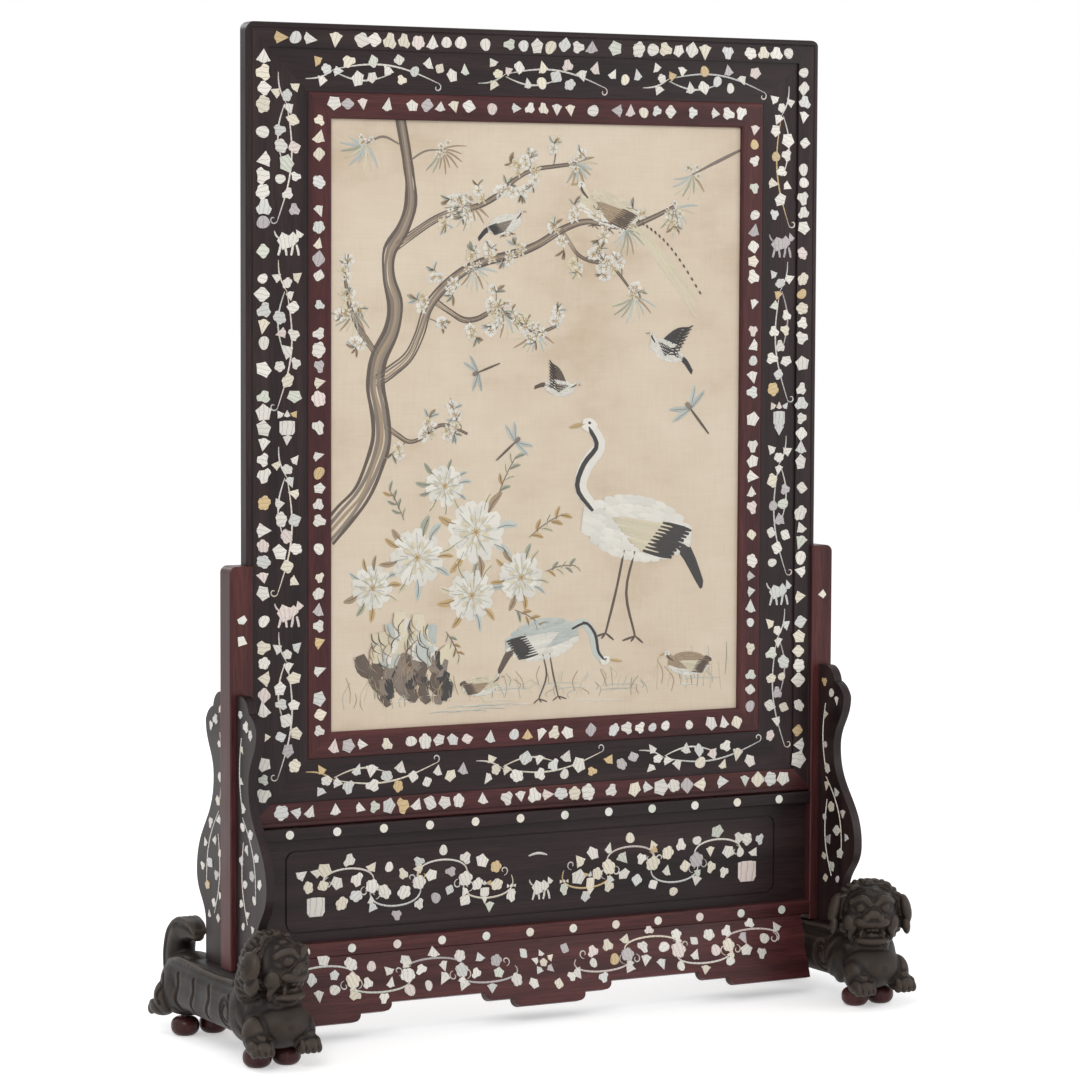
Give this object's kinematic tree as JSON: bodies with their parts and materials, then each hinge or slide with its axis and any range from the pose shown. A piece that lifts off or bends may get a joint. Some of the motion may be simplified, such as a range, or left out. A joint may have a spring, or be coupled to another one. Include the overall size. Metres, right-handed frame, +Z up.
{
  "type": "table screen",
  "caption": "Table screen: a framed silk embroidery in pearl-inlaid hardwood that lifts out of a grooved stand on carved lion feet.",
  "frame": {"origin": "on the table surface, under the middle of the stand", "axes": "+Z up, +X to the right seen from the front, +Y to the rear"},
  "size_m": [0.6522, 0.236, 0.85],
  "materials": {
    "dark_wood": "polished",
    "rosewood": "polished",
    "plain_wood": "matte",
    "pearl": "gloss",
    "silk": "satin",
    "brass": "satin"
  },
  "bodies": {
    "stand": {"upper_rail": "dark_wood", "lower_rail": "rosewood", "upper_rail_dots": "pearl", "lower_rail_dots": "pearl", "rail_pegs": "plain_wood", "panel": "dark_wood", "apron_front": "rosewood", "apron_rear": "rosewood", "spandrel_left_front": "dark_wood", "spandrel_left_rear": "dark_wood", "spandrel_right_front": "dark_wood", "spandrel_right_rear": "dark_wood", "post_left": "rosewood", "post_right": "rosewood", "lion_foot_left": "dark_wood", "lion_foot_right": "dark_wood", "ball_foot_left_front_inner": "rosewood", "ball_foot_left_front_outer": "rosewood", "ball_foot_left_rear_inner": "rosewood", "ball_foot_left_rear_outer": "rosewood", "ball_foot_right_front_inner": "rosewood", "ball_foot_right_front_outer": "rosewood", "ball_foot_right_rear_inner": "rosewood", "ball_foot_right_rear_outer": "rosewood", "inlay_panel": "pearl", "inlay_apron": "pearl", "inlay_spandrels": "pearl", "inlay_posts": "pearl"},
    "screen": {"frame_outer_top": "dark_wood", "frame_outer_bottom": "rosewood", "frame_outer_left": "dark_wood", "frame_outer_right": "dark_wood", "frame_middle_top": "dark_wood", "frame_middle_bottom": "dark_wood", "frame_middle_left": "dark_wood", "frame_middle_right": "dark_wood", "frame_sight_top": "rosewood", "frame_sight_bottom": "rosewood", "frame_sight_left": "rosewood", "frame_sight_right": "rosewood", "stretcher_top": "plain_wood", "stretcher_bottom": "plain_wood", "stretcher_left": "plain_wood", "stretcher_right": "plain_wood", "embroidered_silk": "silk", "backing_board": "plain_wood", "board_pins": "brass", "inlay_outer": "pearl", "inlay_middle": "pearl", "inlay_sight": "pearl"}
  },
  "joints": [
    {"name": "screen_lift", "type": "slide", "parent": "stand", "child": "screen", "axis": [0, 0, 1], "range_m": [0, 0.24]}
  ]
}
